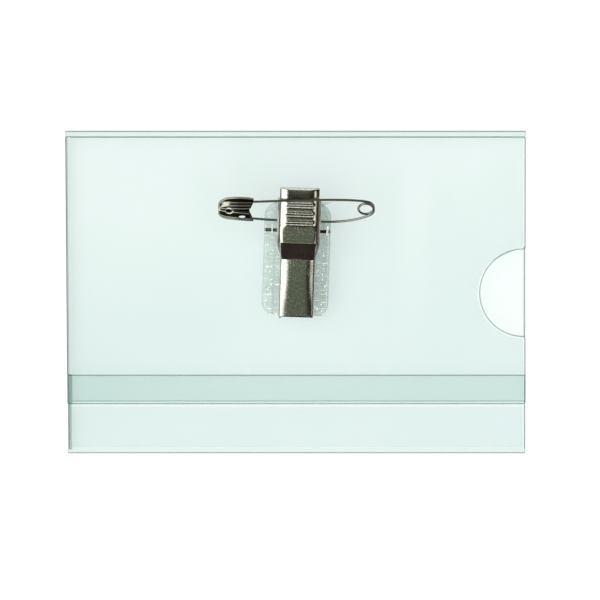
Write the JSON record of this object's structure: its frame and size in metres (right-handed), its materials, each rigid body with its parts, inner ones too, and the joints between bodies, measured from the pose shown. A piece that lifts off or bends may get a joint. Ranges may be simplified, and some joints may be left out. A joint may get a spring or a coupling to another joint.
{
  "type": "name badge",
  "caption": "Clear folded card pocket with a thumb notch, and a sprung lever clip with a safety pin through its ears, stuck to the back on a clear plate.",
  "frame": {"origin": "on the surface that the badge lies on, under the middle of its overall box", "axes": "+X along the pocket to its open end with the thumb notch, +Y to the upper edge that the clip's handle points to, +Z out of the back, where the clip is"},
  "size_m": [0.0916, 0.064, 0.0101],
  "materials": {
    "clear_sheet": "clear, smooth, faint green tint",
    "clear_tape": "translucent adhesive with small bubbles",
    "clear_plate": "clear moulding",
    "nickel_plate": "nickel-plated pressed steel with a fine grain",
    "spring_steel": "plain wire",
    "pin_steel": "nickel-plated, polished"
  },
  "bodies": {
    "badge": {"pocket": "clear_sheet", "adhesive_pad": "clear_tape", "base_plate": "clear_plate", "hinge_rod": "spring_steel", "clip_base": "nickel_plate", "clip_spring": "spring_steel"},
    "clip_lever": {"clip_lever": "nickel_plate"},
    "safety_pin": {"pin_wire": "pin_steel", "pin_cap": "pin_steel"},
    "pin_needle": {"pin_needle": "pin_steel"}
  },
  "joints": [
    {"name": "jaw_open", "type": "hinge", "parent": "badge", "child": "clip_lever", "pos_m": [0.00053, 0.01229, 0.0056], "axis": [-0.9994, 0.0349, 0], "range_deg": [0, 18], "stiffness_Nm_per_rad": 0.02, "springref_deg": -89.95},
    {"name": "pin_swing", "type": "hinge", "parent": "badge", "child": "safety_pin", "pos_m": [0.0006, 0.01416, 0.006], "axis": [0.9994, -0.0349, 0], "range_deg": [0, 60]},
    {"name": "needle_open", "type": "hinge", "parent": "safety_pin", "child": "pin_needle", "pos_m": [0.0138, 0.01697, 0.00839], "axis": [-0.0035, -0.1001, 0.995], "range_deg": [0, 10], "stiffness_Nm_per_rad": 0.05, "springref_deg": -14.9}
  ]
}
